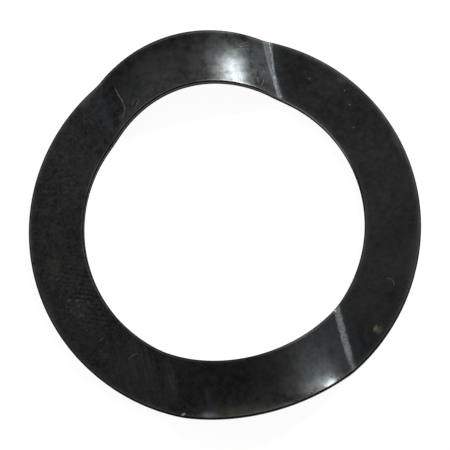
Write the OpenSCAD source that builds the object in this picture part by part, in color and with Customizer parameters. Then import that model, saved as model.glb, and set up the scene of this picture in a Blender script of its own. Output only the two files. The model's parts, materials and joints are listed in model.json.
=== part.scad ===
// Bowed spring washer: one thin ring of hardened steel strip, blanked round and
// then pressed along two parallel creases, so that a shallow arch stands between
// two flat wings. The ring rests on the wings, and the arch is the spring.
// X runs across the creases, Y along them, and Z = 0 is under the wings.

/* [Ring] */
// Outside diameter of the formed ring, seen from above
outer_d = 36; // [30:0.1:60]
// Diameter of the hole, seen from above
inner_d = 25.8; // [12:0.1:28]
// Thickness of the strip
strip_t = 0.8; // [0.3:0.05:1.2]

/* [Arch] */
// Width of the arch between the two lines where the flat wings begin
arch_w = 17.3; // [12:0.1:24]
// Height of the arch's crown above the wings
arch_rise = 2.7; // [0.8:0.1:3.2]
// Radius inside each bend, where the arch turns into a wing
bend_r = 1.4; // [0.4:0.1:3]

/* [Hidden] */
$fn = 360;
// How far the uncut strip and the hole's cutter pass the finished ring
overrun = 1;
// How far the arch's circle crosses a bend's circle, so that the two always meet
seam = 0.0002;
// Each flat wing begins at this distance from the crown's line
foot_x = arch_w / 2;
// Each bend's centre stands over that line, above the wing by the bend's radius
bend_centre_z = strip_t + bend_r;
// The arch and a bend are tangent, so the distance between their centres follows
// from the width and the rise
centre_gap = (foot_x * foot_x + arch_rise * arch_rise) / (2 * arch_rise);
// Radius on top of the arch, and the height of its centre
arch_r = centre_gap - bend_r + seam;
arch_centre_z = strip_t + arch_rise - arch_r;
strip_w = outer_d + 2 * overrun;
ring_h = strip_t + arch_rise;

// Everything below the surface that lies at this depth in the strip, where 0 is
// the strip's top and strip_t is its underside. Drawn across the creases: each
// bend is hollowed out round its centre, down to the wing, and the arch's disc
// takes over at the line that joins the two centres.
module below(depth) {
    wing_z = strip_t - depth;
    difference() {
        polygon([
            [-strip_w / 2, -outer_d],
            [strip_w / 2, -outer_d],
            [strip_w / 2, wing_z],
            [foot_x, wing_z],
            [foot_x, bend_centre_z],
            [0, arch_centre_z],
            [-foot_x, bend_centre_z],
            [-foot_x, wing_z],
            [-strip_w / 2, wing_z]
        ]);
        for (side = [-1, 1])
            translate([side * foot_x, bend_centre_z])
                circle(r = bend_r + depth);
    }
    translate([0, arch_centre_z])
        circle(r = arch_r - depth);
}

// The strip after pressing, before its round outline: a wing, a bend, the arch,
// a bend and a wing, with the same thickness all along
module formed_strip() {
    rotate([90, 0, 0])
        linear_extrude(height = strip_w, center = true)
            difference() {
                below(0);
                below(strip_t);
            }
}

// The round outline and the hole, from the wings' underside to above the crown
module ring_outline() {
    difference() {
        cylinder(d = outer_d, h = ring_h + overrun);
        translate([0, 0, -overrun])
            cylinder(d = inner_d, h = ring_h + 3 * overrun);
    }
}

module washer() {
    color([0.14, 0.14, 0.15])
        intersection() {
            formed_strip();
            ring_outline();
        }
}

washer();
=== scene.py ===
import json
import math

import bpy
import numpy as np
from mathutils import Matrix, Vector


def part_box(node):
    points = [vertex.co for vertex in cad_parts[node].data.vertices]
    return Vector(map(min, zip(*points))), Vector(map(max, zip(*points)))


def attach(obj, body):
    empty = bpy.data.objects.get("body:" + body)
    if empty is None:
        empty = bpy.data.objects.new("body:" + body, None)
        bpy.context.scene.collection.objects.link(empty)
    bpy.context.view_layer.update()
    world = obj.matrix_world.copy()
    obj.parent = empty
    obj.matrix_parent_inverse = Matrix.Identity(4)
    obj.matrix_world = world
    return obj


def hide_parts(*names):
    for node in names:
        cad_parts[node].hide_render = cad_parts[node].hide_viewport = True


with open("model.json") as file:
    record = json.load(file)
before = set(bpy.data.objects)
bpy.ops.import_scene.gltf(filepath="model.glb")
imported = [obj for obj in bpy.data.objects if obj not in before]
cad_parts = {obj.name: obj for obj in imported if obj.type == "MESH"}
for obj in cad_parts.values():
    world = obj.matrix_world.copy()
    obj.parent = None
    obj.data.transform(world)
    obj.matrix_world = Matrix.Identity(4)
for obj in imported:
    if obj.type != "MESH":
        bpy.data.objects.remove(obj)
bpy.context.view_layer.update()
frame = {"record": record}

MM = 0.001

# Shape, the same named values as in the CAD source
STRIP_T = 0.8 * MM
ARCH_W = 17.3 * MM
BEND_R = 1.4 * MM
box_low, box_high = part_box("washer")
hole = next(m for m in frame["record"]["mounts"] if m["name"] == "shaft_hole")
OUTER_R = min(abs(c) for corner in (box_low, box_high) for c in (corner.x, corner.y))
INNER_R = hole["dims"]["r_mm"] * MM
ARCH_RISE = box_high.z - STRIP_T
FOOT_X = ARCH_W / 2
# The arch and a bend are tangent circles, so the gap between their centres and the
# slope where they meet follow from the width and the rise
CENTRE_GAP = (FOOT_X**2 + ARCH_RISE**2) / (2 * ARCH_RISE)
ARCH_R = CENTRE_GAP - BEND_R
ARCH_CENTRE_Z = STRIP_T + ARCH_RISE - ARCH_R
SIN_SLOPE = FOOT_X / CENTRE_GAP
BEND_X = ARCH_R * SIN_SLOPE

# Edges: the worn rounding on top and the sharper one below
TOP_ROUND = 0.12 * MM
UNDER_ROUND = 0.08 * MM
# Over the arch the strip is slightly hollow, as bent strip is, fully so up to this X.
# Its outer edge curls up a little more, from this share of the half width outwards
HOLLOW = 0.208 * MM
HOLLOW_FULL_X = 6.2 * MM
CURL = 0.04 * MM
CURL_FROM = 0.48
# The right bend lies a little inside its nominal line, and is turned by this slope
BEND_DRIFT = 0.13 * MM
BEND_TURN = 0.004
DRIFT_FROM_X = 6 * MM
# How finely the skin is divided: steps round an edge, columns across the top and the
# underside, and degrees from one ring to the next, finer from ARCH_ANGLE on
ROUND_STEPS = 6
TOP_COLUMNS = 34
UNDER_COLUMNS = 30
ARCH_ANGLE = 44
ARCH_STEP = 0.25
WING_STEP = 1

# Camera, from the fit to the photo: its axes, its distance from the washer's middle
# and how far it is slid to the right and up
CAMERA_RIGHT = Vector((0.96636, -0.24607, -0.07482))
CAMERA_BACK = Vector((0.01392, -0.24044, 0.97056))
CAMERA_DISTANCE = 137.69 * MM
CAMERA_SLIDE = (0.152 * MM, -0.039 * MM)
FOCAL_PIXELS = 1501.8
IMAGE_PIXELS = 450
SENSOR = 36
NEAREST_SEEN = 1 * MM
FURTHEST_SEEN = 20

# Floor: half its side, and its height just below the plane that the washer rests on
HALF_FLOOR = 3
FLOOR_Z = -0.02 * MM


def surface_z(x, depth):
    """Height of the surface that lies at this depth in the strip, over x."""
    x = np.abs(x)
    arch_edge = (ARCH_R - depth) * SIN_SLOPE
    arch = ARCH_CENTRE_Z + np.sqrt(np.maximum((ARCH_R - depth) ** 2 - x**2, 0))
    from_foot = np.clip(FOOT_X - x, 0, BEND_R + depth)
    bend = STRIP_T + BEND_R - np.sqrt((BEND_R + depth) ** 2 - from_foot**2)
    return np.where(x <= arch_edge, arch, bend)


def smooth_step(value):
    """From 0 to 1, with a smooth start and end."""
    value = np.clip(value, 0, 1)
    return value * value * (3 - 2 * value)


def drifted(x, y):
    """Where the CAD's profile is read for this x."""
    share = smooth_step((x - DRIFT_FROM_X) / (BEND_X - BEND_DRIFT - DRIFT_FROM_X))
    return x + np.maximum(BEND_DRIFT - BEND_TURN * y, 0) * share


def hollow_depth(radius, x):
    """How far the strip sinks between its edges, over the arch only."""
    middle = (INNER_R + OUTER_R) / 2
    across = (radius - middle) / (OUTER_R - middle)
    curl = np.clip((across - CURL_FROM) / (1 - CURL_FROM), 0, None)
    share = smooth_step((FOOT_X - np.abs(x)) / (FOOT_X - HOLLOW_FULL_X))
    return (HOLLOW * (1 - across**2) + CURL * (1 - curl**2)) * share


def ring_section():
    """The strip's outline as (radius, depth), once round: top, outer wall, under
    side, inner wall."""
    points = []
    turns = np.linspace(0, math.pi / 2, ROUND_STEPS + 1)
    for radius in np.linspace(INNER_R + TOP_ROUND, OUTER_R - TOP_ROUND, TOP_COLUMNS):
        points.append((radius, 0))
    for turn in turns[1:]:
        points.append((
            OUTER_R - TOP_ROUND + TOP_ROUND * math.sin(turn),
            TOP_ROUND * (1 - math.cos(turn)),
        ))
    for turn in turns:
        points.append((
            OUTER_R - UNDER_ROUND + UNDER_ROUND * math.cos(turn),
            STRIP_T - UNDER_ROUND + UNDER_ROUND * math.sin(turn),
        ))
    under = np.linspace(OUTER_R - UNDER_ROUND, INNER_R + UNDER_ROUND, UNDER_COLUMNS)
    for radius in under[1:]:
        points.append((radius, STRIP_T))
    for turn in turns[1:]:
        points.append((
            INNER_R + UNDER_ROUND - UNDER_ROUND * math.sin(turn),
            STRIP_T - UNDER_ROUND + UNDER_ROUND * math.cos(turn),
        ))
    for turn in turns[:-1]:
        points.append((
            INNER_R + TOP_ROUND - TOP_ROUND * math.cos(turn),
            TOP_ROUND * (1 - math.sin(turn)),
        ))
    return points


def ring_angles():
    """Angles round the ring in degrees, close together over the arch and bends."""
    half_turn = 180
    wing = np.arange(-ARCH_ANGLE, ARCH_ANGLE, WING_STEP)
    arch = np.arange(ARCH_ANGLE, half_turn - ARCH_ANGLE, ARCH_STEP)
    half = np.concatenate([wing, arch])
    return np.concatenate([half, half + half_turn])


def build_washer():
    """The washer's skin, with each point's distance from the nearer edge and its
    depth in the strip stored for the material."""
    section = np.array(ring_section())
    angles = np.radians(ring_angles())
    radius = section[:, 0][None, :]
    x = radius * np.cos(angles)[:, None]
    y = radius * np.sin(angles)[:, None]
    depth = section[:, 1][None, :] + 0 * x
    z = surface_z(drifted(x, y), depth) - hollow_depth(radius, x)
    points = np.stack([x, y, z], axis=-1).reshape(-1, 3)
    rings, across = x.shape
    faces = []
    for i in range(rings):
        j = (i + 1) % rings
        for k in range(across):
            m = (k + 1) % across
            faces.append((i * across + k, i * across + m, j * across + m, j * across + k))
    mesh = bpy.data.meshes.new("washer_skin")
    mesh.from_pydata(points.tolist(), [], faces)
    mesh.update()
    mesh.polygons.foreach_set("use_smooth", [True] * len(mesh.polygons))
    edge_gap = np.minimum(radius - INNER_R, OUTER_R - radius) + 0 * x
    for name, values in (("edge_gap", edge_gap), ("depth", depth)):
        layer = mesh.attributes.new(name, "FLOAT", "POINT")
        layer.data.foreach_set("value", values.ravel())
    piece = bpy.data.objects.new("washer_skin", mesh)
    bpy.context.scene.collection.objects.link(piece)
    return piece


# A ramp is the span of a value, and the results at the two ends of that span
RISE = (0, 1)
FALL = (1, 0)
# A scratch is at its strongest over this share of its half width. An ellipse ends it:
# its half length is this share of the scratch's chord, its half width passes the
# scratch's bow by this many half widths of the scratch, and this share of it fades
LINE_CORE = 0.2
LINE_REACH = 0.55
LINE_MARGIN = 6
LINE_SOFT = 0.3
# The middle of any noise, and the detail of the noise that is drawn out into streaks
NOISE_MIDDLE = 0.5
STREAK_DETAIL = 2


class Shader:
    """A material's node tree, with short calls for the nodes used here."""

    def __init__(self, name):
        self.material = bpy.data.materials.new(name)
        self.material.use_nodes = True
        self.tree = self.material.node_tree
        self.tree.nodes.clear()
        self.coordinates = self.node("ShaderNodeTexCoord").outputs["Object"]
        self.plan = self.scaled((1, 1, 0))

    def node(self, kind, inputs=None, **settings):
        made = self.tree.nodes.new(kind)
        for key, value in settings.items():
            setattr(made, key, value)
        for key, value in (inputs or {}).items():
            if isinstance(value, bpy.types.NodeSocket):
                self.tree.links.new(value, made.inputs[key])
            else:
                made.inputs[key].default_value = value
        return made

    def finished(self, inputs):
        """The material, once its surface has these inputs."""
        surface = self.node("ShaderNodeBsdfPrincipled", inputs)
        output = self.node("ShaderNodeOutputMaterial")
        self.tree.links.new(surface.outputs[0], output.inputs["Surface"])
        return self.material

    def math(self, operation, *values, clamp=False):
        inputs = dict(enumerate(values))
        made = self.node("ShaderNodeMath", inputs, operation=operation, use_clamp=clamp)
        return made.outputs[0]

    def times(self, first, second):
        return self.math("MULTIPLY", first, second)

    def plus(self, first, second):
        return self.math("ADD", first, second)

    def minus(self, first, second):
        return self.math("SUBTRACT", first, second)

    def larger(self, first, second):
        return self.math("MAXIMUM", first, second)

    def apart(self, first, second):
        """How far two values are from each other."""
        return self.math("ABSOLUTE", self.minus(first, second))

    def ramp(self, value, ramp):
        """The ramp's result for a value, with a smooth curve between its ends."""
        span, results = ramp
        made = self.node("ShaderNodeMapRange", {
            "Value": value,
            "From Min": span[0],
            "From Max": span[1],
            "To Min": results[0],
            "To Max": results[1],
        }, interpolation_type="SMOOTHSTEP")
        return made.outputs[0]

    def ramp_mm(self, value, ramp):
        """The same for a length, with the ramp's span in millimetres."""
        span, results = ramp
        return self.ramp(value, ([end * MM for end in span], results))

    def scaled(self, scale, turn=0):
        """Object coordinates, turned about Z by degrees and scaled on each axis."""
        made = self.node("ShaderNodeMapping", {
            "Vector": self.coordinates,
            "Rotation": (0, 0, math.radians(turn)),
            "Scale": scale,
        })
        return made.outputs[0]

    def stored(self, name):
        """A value that the mesh holds for each point."""
        return self.node("ShaderNodeAttribute", attribute_name=name).outputs["Fac"]

    def ellipse(self, place, reach, turn=0, soft=0.6):
        """1 in an ellipse on the surface and 0 outside: its middle and half sizes in
        millimetres, its turn in degrees and the share of it that fades out."""
        moved = self.node("ShaderNodeMapping", {
            "Vector": self.plan,
            "Location": (place[0] * MM, place[1] * MM, 0),
            "Rotation": (0, 0, math.radians(turn)),
            "Scale": (reach[0] * MM, reach[1] * MM, 1),
        }, vector_type="TEXTURE")
        inside = self.node("ShaderNodeTexGradient", {"Vector": moved.outputs[0]},
                           gradient_type="SPHERICAL").outputs["Fac"]
        return self.ramp(inside, ((0, soft), RISE))

    def arc(self, start, middle, end, width):
        """A thin line on the surface through three points, all in millimetres."""
        start, middle, end = (complex(*point) for point in (start, middle, end))
        ratio = (end - start) / (middle - start)
        centre = start + (middle - start) * (ratio - abs(ratio) ** 2) / (2j * ratio.imag)
        away = self.node("ShaderNodeVectorMath", {
            0: self.plan,
            1: (centre.real * MM, centre.imag * MM, 0),
        }, operation="DISTANCE").outputs["Value"]
        off = self.apart(away, abs(start - centre) * MM)
        line = self.ramp(off, ((LINE_CORE * width * MM, width * MM), FALL))
        chord = end - start
        between = (start + end) / 2
        window = self.ellipse(
            (between.real, between.imag),
            (LINE_REACH * abs(chord), abs(middle - between) + LINE_MARGIN * width),
            math.degrees(math.atan2(chord.imag, chord.real)),
            LINE_SOFT,
        )
        return self.times(line, window)

    def noise(self, scale, detail, roughness=0.5, distortion=0, vector=None):
        made = self.node("ShaderNodeTexNoise", {
            "Vector": vector or self.coordinates,
            "Scale": scale,
            "Detail": detail,
            "Roughness": roughness,
            "Distortion": distortion,
        })
        return made.outputs[0]

    def streaks(self, scale, turn=0):
        """Noise drawn out into streaks: its scale on each axis and its turn."""
        return self.noise(1, STREAK_DETAIL, vector=self.scaled(scale, turn))

    def patchy(self, scale, detail, roughness, ramp):
        """Noise that breaks a mark up, put through a ramp."""
        return self.ramp(self.noise(scale, detail, roughness), ramp)

    def mixed(self, share, first, second):
        """The first colour, and as much of the second over it as the share says."""
        made = self.node("ShaderNodeMix", {"Factor": share}, data_type="RGBA")
        for socket, value in (("A_Color", first), ("B_Color", second)):
            target = next(s for s in made.inputs if s.identifier == socket)
            if isinstance(value, bpy.types.NodeSocket):
                self.tree.links.new(value, target)
            else:
                target.default_value = value
        return next(s for s in made.outputs if s.identifier == "Result_Color")


# Colours of the steel: the blacking where it is thick, and where it is thin
BLACKING = (0.013, 0.013, 0.013, 1)
THIN_BLACKING = (0.062, 0.062, 0.063, 1)
# the thin blacking with a painted cool tint of the lamp's light, used on the arch
THIN_BLACKING_LAMP_TINTED = (0.056, 0.0635, 0.0655, 1)
# The rubbed bend: its band, the painted shade on its left and the painted
# highlight on its right
BAND_STEEL = (0.088, 0.098, 0.103, 1)
BEND_SHADE_STEEL = (0.024, 0.026, 0.028, 1)
BEND_HIGHLIGHT_STEEL = (0.16, 0.17, 0.176, 1)
# The edges: the worn shoulder with a light line that is partly a painted highlight of
# the rounding, the rim painted black as painted shade over its highlight, and the
# sheared wall
EDGE_WEAR_AND_HIGHLIGHT_STEEL = (0.13, 0.13, 0.126, 1)
RIM_SHADE_BLACK = (0.004, 0.004, 0.004, 1)
WALL_BLACK = (0.006, 0.006, 0.006, 1)
SHEARED_STEEL = (0.16, 0.155, 0.148, 1)
WORN_CORNER_STEEL = (0.24, 0.24, 0.238, 1)
# How much the surface reflects at a flat angle, and how much its rim does
GLANCE = (0.45, 0.45, 0.45, 1)
RIM_GLANCE = (0.06, 0.06, 0.06, 1)
# Marks
FLECK = (0.17, 0.165, 0.14, 1)
OLIVE = (0.075, 0.077, 0.058, 1)
STEEL_BLUE = (0.050, 0.060, 0.075, 1)
GREEN_BLACK = (0.030, 0.037, 0.033, 1)
MID_GREY = (0.075, 0.075, 0.072, 1)
LIGHT_GREY = (0.12, 0.12, 0.118, 1)
BARE_GREY = (0.20, 0.19, 0.19, 1)
PALE = (0.42, 0.42, 0.41, 1)
DARK = (0.012, 0.012, 0.012, 1)
RUST_BROWN = (0.050, 0.031, 0.008, 1)
RUST_OCHRE = (0.118, 0.098, 0.046, 1)

# Marks on the top, in millimetres as the CAD's X and Y.
# Broad lighter and darker areas: middle, half sizes, change of tone. Those along the
# front edge from X 1.6 to 4.9 and at (6.2, 16.7) and (6.6, 13.5) are painted shade
# that dims the lamp's highlights, and the one at (5.75, -16.6) is a painted highlight
# on the front core
TONE_AND_PAINTED_LIGHT_PATCHES = (
    ((-2.2, 15.2), (4.6, 3.2), 0.45),
    ((1.6, 15.8), (2.4, 2.0), 0.20),
    ((-3.6, 16.0), (2.0, 1.4), 0.22),
    ((0.2, 14.8), (1.2, 2.6), -0.22),
    ((-6.9, 13.4), (2.0, 3.8), -0.20),
    ((14.6, 7.0), (3.4, 5.5), -0.16),
    ((-14.4, -6.4), (2.4, 3.6), 0.12),
    ((1.6, -17.0), (2.6, 1.0), -0.30),
    ((3.0, -17.6), (2.4, 0.7), -0.50),
    ((4.9, -17.1), (1.7, 1.0), -0.32),
    ((5.75, -16.6), (0.5, 0.4), 0.4),
    ((9.9, 12.2), (2.8, 3.2), -0.22),
    ((-1.6, -15.2), (5.6, 3.4), -0.22),
    ((13.0, -10.4), (0.8, 0.8), -0.25),
    ((15.6, -1.7), (1.2, 1.0), -0.15),
    ((14.1, -1.7), (0.9, 0.9), -0.10),
    ((9.1, -13.2), (1.0, 2.0), -0.20),
    ((4.5, -17.4), (1.4, 0.8), -0.5),
    ((-7.0, -14.6), (2.2, 3.2), -0.18),
    ((6.2, 16.7), (2.0, 0.9), -0.42),
    ((6.6, 13.5), (1.6, 3.8), -0.50),
)
# Stains and streaks: middle, half sizes, turn in degrees, colour, share
STAINS = (
    ((-15.9, 0.1), (1.0, 1.4), 0, OLIVE, 0.5),
    ((-14.6, -4.1), (1.1, 1.1), 0, OLIVE, 0.45),
    ((-13.3, -9.0), (0.7, 0.5), 0, OLIVE, 0.5),
    ((-17.3, -3.0), (0.6, 3.0), 10, OLIVE, 0.45),
    ((-3.0, -17.2), (4.6, 0.8), -10, OLIVE, 0.6),
    ((14.0, 10.4), (0.5, 0.9), 45, OLIVE, 0.6),
    ((15.8, -7.6), (0.7, 4.4), -26, OLIVE, 0.4),
    ((17.35, 3.2), (0.45, 1.6), 8, OLIVE, 0.7),
    ((-5.1, -15.1), (0.4, 1.3), 0, STEEL_BLUE, 0.7),
    ((-5.1, -16.3), (1.0, 0.9), 0, STEEL_BLUE, 0.6),
    ((-5.4, -16.9), (1.2, 0.5), -18, BARE_GREY, 0.9),
    ((-8.15, 13.4), (0.75, 3.2), 2, STEEL_BLUE, 0.65),
    ((-4.7, 14.7), (1.3, 2.6), 4, GREEN_BLACK, 0.6),
    ((-9.4, 14.9), (1.4, 0.6), 32, LIGHT_GREY, 0.45),
    ((-8.05, -13.0), (0.8, 3.0), 0, MID_GREY, 0.6),
    ((8.9, -13.2), (0.6, 2.0), 0, STEEL_BLUE, 0.4),
)
# Scratches, and among them a light line along the top outer edge that is partly wear
# and partly a painted highlight of its rounding, and a dark line from the front right
# bend to the outer edge: three points on each, half width, colour, share
SCRATCHES_AND_EDGE_HIGHLIGHT = (
    ((-6.55, 15.3), (-6.40, 14.42), (-6.14, 13.6), 0.055, PALE, 0.65),
    ((-6.22, 13.9), (-6.13, 13.38), (-6.09, 12.7), 0.055, PALE, 0.5),
    ((-6.08, 13.0), (-6.18, 12.60), (-6.60, 12.0), 0.055, PALE, 0.25),
    ((-5.35, 12.7), (-5.02, 13.16), (-4.60, 13.2), 0.055, PALE, 0.25),
    ((-5.25, 12.3), (-4.90, 12.63), (-4.60, 13.1), 0.055, PALE, 0.22),
    ((-10.3, 13.2), (-9.50, 13.50), (-8.80, 13.9), 0.08, PALE, 0.09),
    ((13.00, -8.80), (13.42, -9.05), (13.44, -9.60), 0.06, PALE, 0.3),
    # light line along the top outer edge: partly wear, partly a painted highlight of its
    # rounding
    ((-9.20, 15.24), (-5.50, 16.93), (3.00, 17.55), 0.08, PALE, 0.3),
    ((-11.35, -9.95), (-10.89, -9.67), (-10.4, -9.6), 0.06, PALE, 0.26),
    ((-8.12, -10.9), (-8.12, -12.2), (-8.0, -13.6), 0.04, PALE, 0.12),
    ((-7.8, -11.2), (-7.82, -12.2), (-7.74, -13.2), 0.04, PALE, 0.10),
    ((7.70, 16.18), (8.10, 16.05), (8.55, 15.82), 0.10, PALE, 0.4),
    ((8.52, 16.05), (8.47, 15.40), (8.40, 14.7), 0.09, PALE, 0.7),
    ((6.48, 12.5), (6.52, 12.2), (6.50, 11.9), 0.05, PALE, 0.14),
    ((6.61, 11.56), (6.9, 11.85), (7.06, 12.3), 0.05, PALE, 0.14),
    ((7.20, 13.13), (7.36, 12.9), (7.46, 12.71), 0.05, PALE, 0.14),
    ((5.65, 15.61), (6.2, 15.7), (6.73, 15.72), 0.045, PALE, 0.12),
    ((5.24, 15.46), (5.9, 15.43), (6.59, 15.32), 0.045, PALE, 0.12),
    ((5.60, 15.82), (6.15, 15.98), (6.72, 16.08), 0.045, PALE, 0.12),
    ((11.3, 11.2), (11.6, 10.4), (11.9, 9.21), 0.045, PALE, 0.06),
    ((11.2, 10.9), (11.75, 10.85), (12.3, 11.0), 0.045, PALE, 0.06),
    ((7.72, -15.60), (6.79, -16.38), (6.12, -16.74), 0.06, DARK, 0.75),
)
# Chips and specks where bare metal shows, and one dark pit: middle, half sizes,
# colour, share
CHIPS = (
    ((-7.68, -16.02), (0.26, 0.14), PALE, 1.0),
    ((7.75, -10.50), (0.10, 0.08), PALE, 1.0),
    ((11.22, 11.32), (0.09, 0.09), PALE, 0.35),
    ((14.03, 9.31), (0.08, 0.08), PALE, 0.35),
    ((14.12, 7.88), (0.09, 0.09), PALE, 0.35),
    ((13.88, 5.64), (0.08, 0.08), PALE, 0.4),
    ((5.84, -16.26), (0.11, 0.11), DARK, 0.9),
)
# Areas with a texture of their own: middle, half sizes, turn in degrees, fading share
STREAKED_AREA = ((-10.8, -11.0), (3.8, 4.6), 0, 0.8)
RIPPLED_AREA = ((-14.0, -3.0), (2.7, 6.0), 22, 0.8)
FLECKED_AREA = ((-14.6, -4.2), (1.5, 7.0), 20, 0.8)
# The stretch of the hole's top edge that is worn bright, and the rust spot's two parts
WORN_CORNER = ((10.86, 7.05), (7.4, 2.6), 123, 0.5)
RUST_DULL_PART = ((11.05, -13.12), (0.55, 0.44), 30, 1)
RUST_BRIGHT_PART = ((10.79, -12.92), (0.24, 0.46), -40, 1)

# Noise that breaks the marks up: scale, detail, roughness, ramp
SHEEN = (90, 2, 0.5, ((0.3, 0.7), (0.29, 0.31)))
CLOUDY = (1500, 3, 0.5, ((0.3, 0.65), (0.5, 1.3)))
BROKEN = (3600, 3, 0.5, ((0.35, 0.6), (0.35, 1)))
FLECKS = (2900, 1, 0.5, ((0.6, 0.72), (0, 0.6)))
WORN_UNEVENLY = (420, 3, 0.5, ((0.3, 0.65), (0.4, 1)))
SPECKLED = (3400, 3, 0.7, ((0.35, 0.6), (0.35, 1.15)))
GRITTY = (8500, 2, 0.5, ((0.32, 0.62), (0.45, 1.35)))
RAGGED = (4000, 3, 0.5, ((0.35, 0.55), (0.4, 1)))

# Ramps over the depth in the strip and the distance from its nearer edge, with their
# spans in millimetres: where the top ends, the rim, the wall, the lit part of the
# sheared wall from its top to its foot, and the worn corner
TOP_PART = ((0.4, 0.5), FALL)
RIM_PART = ((0.06, 0.13), FALL)
WALL_PART = ((0.04, 0.1), FALL)
SHEARED_TOP = ((0.10, 0.16), RISE)
SHEARED_FOOT = ((0.36, 0.48), FALL)
WORN_GAP = ((0.05, 0.15), FALL)
WORN_DEPTH = ((0.1, 0.24), FALL)
# The thin blacking takes a cool tint between these two ramps over X, on the arch:
# a painted tint of the lamp's light in its highlights
LAMP_TINT_FROM = ((2, 5), RISE)
LAMP_TINT_TO = ((8.3, 9.3), FALL)
# How far dark blacking holds back the wear of the edges and their light line, partly
# a painted highlight: a ramp over the tone
EDGE_MARKS_BY_TONE = ((0, 0.4), (0.1, 1))
# What the rim, the rubbed bend and the rust add to the roughness
RIM_ROUGHER = 0.3
BEND_ROUGHER = 0.25
RUST_ROUGHER = 0.4


def blackened_steel():
    """The washer's material, from its blacking up to its marks."""
    shader = Shader("blackened_steel")
    split = shader.node("ShaderNodeSeparateXYZ", {"Vector": shader.coordinates})
    x, y = split.outputs["X"], split.outputs["Y"]
    edge_gap, depth = shader.stored("edge_gap"), shader.stored("depth")
    on_top = shader.ramp_mm(depth, TOP_PART)
    tone = steel_tone(shader, x, y, on_top)
    # painted cool tint of the lamp's light over the arch
    lamp_tint = shader.times(shader.ramp_mm(x, LAMP_TINT_FROM), shader.ramp_mm(x, LAMP_TINT_TO))
    thin = shader.mixed(lamp_tint, THIN_BLACKING, THIN_BLACKING_LAMP_TINTED)
    colour = shader.mixed(tone, BLACKING, thin)
    roughness = shader.patchy(*SHEEN)
    colour = stained(shader, colour, on_top)

    edge = shader.times(edge_wear_and_highlight(shader, edge_gap, x, y),
                        shader.ramp(tone, EDGE_MARKS_BY_TONE))
    # worn blacking along the edges, with a light line that is partly a painted highlight of
    # their rounding
    colour = shader.mixed(edge, colour, EDGE_WEAR_AND_HIGHLIGHT_STEEL)
    rim = shader.ramp_mm(edge_gap, RIM_PART)
    # the rim painted black: painted shade that hides the lamp's highlight on its rounding
    colour = shader.mixed(rim, colour, RIM_SHADE_BLACK)
    roughness = shader.plus(roughness, shader.times(rim, RIM_ROUGHER))
    glancing = shader.mixed(rim, GLANCE, RIM_GLANCE)

    bend_shade, band, bend_highlight, dull = (shader.times(part, on_top)
                               for part in rubbed_bend(shader, x, y))
    colour = shader.mixed(band, colour, BAND_STEEL)
    # painted shade inside the band's left side
    colour = shader.mixed(bend_shade, colour, BEND_SHADE_STEEL)
    # painted highlight along the band's right side
    colour = shader.mixed(bend_highlight, colour, BEND_HIGHLIGHT_STEEL)
    roughness = shader.plus(roughness, shader.times(dull, BEND_ROUGHER))

    colour = with_scratches_and_edge_highlight(shader, colour, on_top)
    colour = walled(shader, colour, edge_gap, depth)

    brown, ochre = rust_spot(shader, on_top)
    colour = shader.mixed(brown, colour, RUST_BROWN)
    colour = shader.mixed(ochre, colour, RUST_OCHRE)
    rust = shader.larger(brown, ochre)
    roughness = shader.plus(roughness, shader.times(rust, RUST_ROUGHER))
    return shader.finished({
        "Base Color": colour,
        "Metallic": shader.minus(1, rust),
        "Roughness": roughness,
        "Specular Tint": glancing,
        "Normal": fine_scratches(shader),
    })


# The blacking's noise from coarse to fine: scale, detail, roughness, distortion,
# share, and whether it is stronger on the arch, off it, or neither
TONE_LAYERS = (
    (230, 3, 0.5, 0, 0.7, None),
    (700, 4, 0.65, 0, 0.3, "on_arch"),
    (1300, 3, 0.6, 0, 0.8, "on_arch"),
    (2600, 3, 0.5, 1.2, 0.8, "off_arch"),
    (5200, 2, 0.5, 1.5, 1.3, "off_arch"),
)
# Their strength across the washer and along it: ramps in millimetres of X and of Y
MOTTLE_ACROSS = ((5, 8), (1.9, 1.0))
MOTTLE_ALONG = ((-12, 12), (0.6, 1))
GRAIN_ACROSS = ((5, 8), (0.45, 1.0))
GRAIN_TO_RIGHT = ((-7, 8), (1.15, 0.45))
GRAIN_IN_STREAKS = ((0, 1), (1, 0.5))
TONE_STREAKS = (2600, 240, 240)
TONE_STREAK_SHARE = 1.5
MIDDLE_TONE = 0.5


def steel_tone(shader, x, y, on_top):
    """Clouds, mottling and grain of the blacking, from 0, thick, to 1, thin, with
    patches of which some are painted shade and one a painted highlight over the lamp's
    highlights.
    """
    across = shader.math("ABSOLUTE", x)
    mottle = shader.times(shader.ramp_mm(across, MOTTLE_ACROSS),
                          shader.ramp_mm(y, MOTTLE_ALONG))
    grain = shader.times(shader.ramp_mm(across, GRAIN_ACROSS),
                         shader.ramp_mm(x, GRAIN_TO_RIGHT))
    streaked = shader.ellipse(*STREAKED_AREA)
    grain = shader.times(grain, shader.ramp(streaked, GRAIN_IN_STREAKS))
    strengths = {"on_arch": mottle, "off_arch": grain}
    layers = []
    for scale, detail, roughness, distortion, share, where in TONE_LAYERS:
        noise = shader.noise(scale, detail, roughness, distortion)
        layers.append((noise, shader.times(strengths[where], share) if where else share))
    layers.append((shader.streaks(TONE_STREAKS), shader.times(streaked, TONE_STREAK_SHARE)))
    tone = MIDDLE_TONE
    for noise, weight in layers:
        tone = shader.plus(shader.times(shader.minus(noise, NOISE_MIDDLE), weight), tone)
    # patches, some of them painted shade and one a painted highlight on the lamp's highlights
    for place, reach, change in TONE_AND_PAINTED_LIGHT_PATCHES:
        patch = shader.times(shader.ellipse(place, reach, soft=1), on_top)
        tone = shader.plus(tone, shader.times(patch, change))
    ripples = shader.times(ground_ripples(shader), on_top)
    return shader.math("ADD", tone, ripples, clamp=True)


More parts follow.
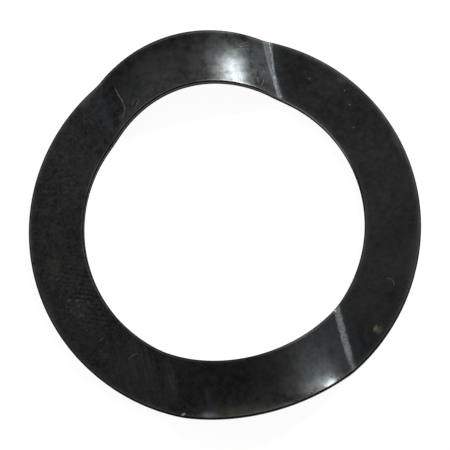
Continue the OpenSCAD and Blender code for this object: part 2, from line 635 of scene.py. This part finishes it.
def ground_ripples(shader):
    """Chatter marks of the grinding across the lower left."""
    ripple_turn = 23.7
    ripple_height = 0.34
    wave = shader.node("ShaderNodeTexWave", {
        "Vector": shader.scaled((1, 1, 0), ripple_turn),
        "Scale": 750,
        "Distortion": 4,
        "Detail": 2,
        "Detail Scale": 1.2,
    }, wave_type="BANDS", bands_direction="Y").outputs["Fac"]
    region = shader.ellipse(*RIPPLED_AREA)
    return shader.times(region, shader.times(shader.minus(wave, NOISE_MIDDLE), ripple_height))


def stained(shader, colour, on_top):
    """The colour with the stains and the small pale flecks down the left wing."""
    cloudy = shader.times(shader.patchy(*CLOUDY), on_top)
    for place, reach, turn, tint, share in STAINS:
        spot = shader.times(shader.ellipse(place, reach, turn, soft=1), cloudy)
        colour = shader.mixed(shader.times(spot, share), colour, tint)
    flecks = shader.times(shader.ellipse(*FLECKED_AREA), shader.patchy(*FLECKS))
    return shader.mixed(shader.times(flecks, on_top), colour, FLECK)


def with_scratches_and_edge_highlight(shader, colour, on_top):
    """The colour with the scratches, the light edge line that is partly a painted
    highlight, and the chips.
    """
    broken = shader.times(shader.patchy(*BROKEN), on_top)
    for start, middle, end, width, tint, share in SCRATCHES_AND_EDGE_HIGHLIGHT:
        line = shader.times(shader.arc(start, middle, end, width), broken)
        colour = shader.mixed(shader.times(line, share), colour, tint)
    for place, reach, tint, share in CHIPS:
        chip = shader.times(shader.ellipse(place, reach), on_top)
        colour = shader.mixed(shader.times(chip, share), colour, tint)
    return colour


def walled(shader, colour, edge_gap, depth):
    """The colour with the walls, lit where they are sheared, and the corner of the
    hole that is worn bright above a dark foot."""
    worn_part = shader.ellipse(*WORN_CORNER)
    sheared = shader.times(shader.ramp_mm(depth, SHEARED_TOP),
                           shader.ramp_mm(depth, SHEARED_FOOT))
    sheared = shader.times(sheared, shader.minus(1, worn_part))
    wall = shader.ramp_mm(edge_gap, WALL_PART)
    colour = shader.mixed(wall, colour, shader.mixed(sheared, WALL_BLACK, SHEARED_STEEL))
    worn = shader.times(shader.ramp_mm(edge_gap, WORN_GAP),
                        shader.ramp_mm(depth, WORN_DEPTH))
    return shader.mixed(shader.times(worn, worn_part), colour, WORN_CORNER_STEEL)


# Wear of the edges, and a light line beside each that is partly wear and partly a
# painted highlight of the edge's rounding. From the hole's edge to the outer one, in
# millimetres of radius: where the line lies beside its edge, and how much of it there is
WEAR_AND_HIGHLIGHT_LINE_PLACE = ((14, 17), (0.15 * MM, 0.19 * MM))
AT_OUTER_EDGE = ((14, 17), RISE)
# The line and the shoulder across the strip, in millimetres
WEAR_AND_HIGHLIGHT_LINE = ((0.02, 0.1), (0.8, 0))
WEAR_SHOULDER = ((0.2, 0.6), (0.26, 0))
# Where the hole's edge shows its line and its shoulder: ramps over X and over Y
HOLE_LINE_BY_X = ((1, 4), (1, 0.45))
HOLE_LINE_BY_Y = ((-2, 2), FALL)
HOLE_SHOULDER_BY_X = ((4, 9), RISE)


def edge_wear_and_highlight(shader, edge_gap, x, y):
    """Along both edges: a light line, partly worn blacking and partly a painted highlight
    of the edge's rounding, and a soft shoulder of worn blacking.
    """
    uneven = shader.patchy(*WORN_UNEVENLY)
    flat = shader.node("ShaderNodeCombineXYZ", {"X": x, "Y": y}).outputs[0]
    radius = shader.node("ShaderNodeVectorMath", {0: flat}, operation="LENGTH").outputs["Value"]
    outer = shader.ramp_mm(radius, AT_OUTER_EDGE)
    off = shader.apart(edge_gap, shader.ramp_mm(radius, WEAR_AND_HIGHLIGHT_LINE_PLACE))
    hole_line = shader.larger(shader.ramp_mm(x, HOLE_LINE_BY_X),
                              shader.ramp_mm(y, HOLE_LINE_BY_Y))
    line = shader.times(shader.ramp_mm(off, WEAR_AND_HIGHLIGHT_LINE), shader.larger(outer, hole_line))
    worn_side = shader.larger(outer, shader.ramp_mm(x, HOLE_SHOULDER_BY_X))
    shoulder = shader.times(shader.ramp_mm(edge_gap, WEAR_SHOULDER), worn_side)
    return shader.times(shader.larger(line, shoulder), uneven)


# The right bend. Its sides wander by noise: scale, detail and swing
BEND_WANDER = ((2200, 3, 0.22 * MM), (8000, 3, 0.2 * MM))
# The band's left side and how softly it starts, from the front to the back, and its
# right side, which moves out with the square of the distance past a place on Y
BAND_LEFT = ((-1, 1), (7.58 * MM, 7.84 * MM))
BAND_LEFT_SOFT = ((-1, 1), (0.07 * MM, 0.3 * MM))
BAND_LEFT_START = -0.05 * MM
BAND_RIGHT = 8.19 * MM
BAND_RIGHT_FADE = ((-0.06, 0.05), RISE)
WIDENS_FROM = 10.5 * MM
WIDENING = 0.023 / MM
# The band fades out near the front edge, and is stronger in front than at the back
BAND_FRONT_END = ((-15.9, -13.9), RISE)
BAND_STRENGTH = ((-1, 1), (0.94, 0.58))
HALO_LEFT = ((0, 0.3), RISE)
HALO_RIGHT = ((-1, 0.1), (0, 0.28))
# The painted shade and the painted highlight: how far inside the band's sides they
# lie, how they fade across, and where along the bend they begin
BEND_SHADE_INSET = 0.12 * MM
BEND_SHADE_ACROSS = ((0.05, 0.3), (0.65, 0))
BEND_SHADE_ALONG = ((8, 13), RISE)
BEND_HIGHLIGHT_INSET = 0.15 * MM
BEND_HIGHLIGHT_ACROSS = ((0.02, 0.13), (0.8, 0))
BEND_HIGHLIGHT_ALONG = ((10.5, 12.5), RISE)


def rubbed_bend(shader, x, y):
    """Where the press has rubbed the right bend dull: a band along its foot that
    widens towards the outer edge at the back, with painted shade inside its left
    side and a painted highlight inside its right one. Gives the shares of the
    painted shade, the band, the painted highlight and the dull finish."""
    for scale, detail, swing in BEND_WANDER:
        wander = shader.minus(shader.noise(scale, detail), NOISE_MIDDLE)
        x = shader.plus(x, shader.times(wander, swing))
    past = shader.larger(shader.minus(y, WIDENS_FROM), 0)
    widening = shader.times(shader.math("POWER", past, 2), WIDENING)
    from_left = shader.minus(x, shader.ramp_mm(y, BAND_LEFT))
    from_right = shader.minus(shader.plus(widening, BAND_RIGHT), x)
    soft = shader.ramp_mm(y, BAND_LEFT_SOFT)
    dull = shader.times(shader.ramp(from_left, ((BAND_LEFT_START, soft), RISE)),
                        shader.ramp_mm(from_right, BAND_RIGHT_FADE))
    dull = shader.times(dull, shader.ramp_mm(y, BAND_FRONT_END))
    body = shader.times(dull, shader.ramp_mm(y, BAND_STRENGTH))
    halo = shader.times(shader.ramp_mm(from_left, HALO_LEFT),
                        shader.ramp_mm(from_right, HALO_RIGHT))
    bend_shade = shader.times(shader.ramp_mm(shader.apart(from_left, BEND_SHADE_INSET), BEND_SHADE_ACROSS),
                        shader.ramp_mm(y, BEND_SHADE_ALONG))
    bend_highlight = shader.times(shader.ramp_mm(shader.apart(from_right, BEND_HIGHLIGHT_INSET), BEND_HIGHLIGHT_ACROSS),
                         shader.ramp_mm(y, BEND_HIGHLIGHT_ALONG))
    speckle = shader.times(shader.patchy(*SPECKLED), shader.patchy(*GRITTY))
    band = shader.times(shader.larger(body, halo), speckle)
    return bend_shade, band, shader.times(bend_highlight, speckle), dull


def rust_spot(shader, on_top):
    """One small rust spot: its dull brown part and its lighter rim."""
    brown = shader.ellipse(*RUST_DULL_PART)
    ochre = shader.ellipse(*RUST_BRIGHT_PART)
    ragged = shader.times(shader.patchy(*RAGGED), on_top)
    return shader.times(brown, ragged), shader.times(ochre, ragged)


# Bump: the grain's noise (scale and detail) and its share, the scale of the fine
# scratches, and the turn in degrees and the share of each set of them
GRAIN = (4500, 2)
GRAIN_SHARE = 0.25
FINE_STREAKS = (7000, 320, 320)
FINE_SETS = ((8, 0.7), (52, 0.6), (-48, 0.6), (92, 0.3))
BUMP_HEIGHT = 0.002 * MM


def fine_scratches(shader):
    """Bump of fine scratches that run several ways, and of the grain."""
    height = shader.times(shader.noise(*GRAIN), GRAIN_SHARE)
    for turn, share in FINE_SETS:
        height = shader.plus(height, shader.times(shader.streaks(FINE_STREAKS, turn), share))
    bump = shader.node("ShaderNodeBump", {
        "Height": height,
        "Distance": BUMP_HEIGHT,
        "Strength": 1.0,
    })
    return bump.outputs["Normal"]


def pale_floor():
    """A floor that is white to the camera and in the metal, and lights it little."""
    seen_white = 0.94
    shader = Shader("pale_floor")
    light_path = shader.node("ShaderNodeLightPath")
    seen = light_path.outputs["Is Camera Ray"]
    for kind in ("Is Glossy Ray", "Is Transmission Ray"):
        seen = shader.larger(seen, light_path.outputs[kind])
    return shader.finished({
        "Base Color": (0.12, 0.12, 0.12, 1),
        "Roughness": 0.9,
        "Specular IOR Level": 0.0,
        "Emission Color": (1, 1, 1, 1),
        "Emission Strength": shader.times(seen, seen_white),
    })


def add_floor():
    """A wide floor just below the washer."""
    corners = [(-HALF_FLOOR, -HALF_FLOOR), (HALF_FLOOR, -HALF_FLOOR),
               (HALF_FLOOR, HALF_FLOOR), (-HALF_FLOOR, HALF_FLOOR)]
    mesh = bpy.data.meshes.new("floor")
    mesh.from_pydata([(x, y, 0) for x, y in corners], [], [(0, 1, 2, 3)])
    floor = bpy.data.objects.new("floor", mesh)
    floor.location.z = FLOOR_Z
    bpy.context.scene.collection.objects.link(floor)
    mesh.materials.append(pale_floor())
    return floor


# Softboxes: name, place and aim in millimetres, width, height and radiance
LAMPS = (
    ("key_softbox", (600, 488, 630), (4, 0, 2), 100, 100, 230),
    ("wide_softbox", (820, 20, 780), (5, -14, 2), 340, 840, 0.5),
)
# A rectangle lamp of this many times its area and radiance in watts has that radiance
WATTS_PER_RADIANCE = 4


def add_lamp(name, place, aim, wide, tall, radiance):
    """A flat softbox at a place in millimetres, turned towards another."""
    data = bpy.data.lights.new(name, "AREA")
    data.shape = "RECTANGLE"
    data.size = wide * MM
    data.size_y = tall * MM
    data.energy = WATTS_PER_RADIANCE * data.size * data.size_y * radiance
    lamp = bpy.data.objects.new(name, data)
    bpy.context.scene.collection.objects.link(lamp)
    lamp.location = Vector(place) * MM
    away = lamp.location - Vector(aim) * MM
    lamp.rotation_euler = away.to_track_quat("Z", "Y").to_euler()


# The world's light by direction: an axis, the span along it and the strengths there
WORLD_RAMPS = (
    ("Y", (0.1, 0.7), (0.25, 0.8)),
    ("Z", (0.35, 0.05), (0, 0.7)),
)


def add_world():
    """A pale studio: dim overhead, lighter at the back and along the horizon."""
    world = bpy.data.worlds.new("world")
    bpy.context.scene.world = world
    world.use_nodes = True
    tree = world.node_tree
    background = tree.nodes["Background"]
    background.inputs["Color"].default_value = (1, 1, 1, 1)
    coordinates = tree.nodes.new("ShaderNodeTexCoord")
    split = tree.nodes.new("ShaderNodeSeparateXYZ")
    tree.links.new(coordinates.outputs["Generated"], split.inputs[0])
    total = tree.nodes.new("ShaderNodeMath")
    for (axis, span, strengths), socket in zip(WORLD_RAMPS, total.inputs):
        part = tree.nodes.new("ShaderNodeMapRange")
        part.interpolation_type = "SMOOTHSTEP"
        tree.links.new(split.outputs[axis], part.inputs["Value"])
        for key, value in zip(("From Min", "From Max", "To Min", "To Max"), span + strengths):
            part.inputs[key].default_value = value
        tree.links.new(part.outputs[0], socket)
    tree.links.new(total.outputs[0], background.inputs["Strength"])


def add_camera():
    """The photo's camera."""
    data = bpy.data.cameras.new("camera")
    data.sensor_width = SENSOR
    data.lens = FOCAL_PIXELS * SENSOR / IMAGE_PIXELS
    data.clip_start = NEAREST_SEEN
    data.clip_end = FURTHEST_SEEN
    camera = bpy.data.objects.new("camera", data)
    bpy.context.scene.collection.objects.link(camera)
    right, back = CAMERA_RIGHT.normalized(), CAMERA_BACK.normalized()
    up = back.cross(right).normalized()
    right = up.cross(back)
    turned = Matrix((right, up, back)).transposed().to_4x4()
    middle = Vector((0, 0, STRIP_T / 2))
    place = middle + back * CAMERA_DISTANCE + right * CAMERA_SLIDE[0] + up * CAMERA_SLIDE[1]
    camera.matrix_world = Matrix.Translation(place) @ turned
    bpy.context.scene.camera = camera


washer = build_washer()
washer.data.materials.append(blackened_steel())
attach(washer, "root")
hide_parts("washer")
add_floor()

add_camera()
for lamp in LAMPS:
    add_lamp(*lamp)
add_world()
bpy.context.scene.view_settings.view_transform = "Standard"
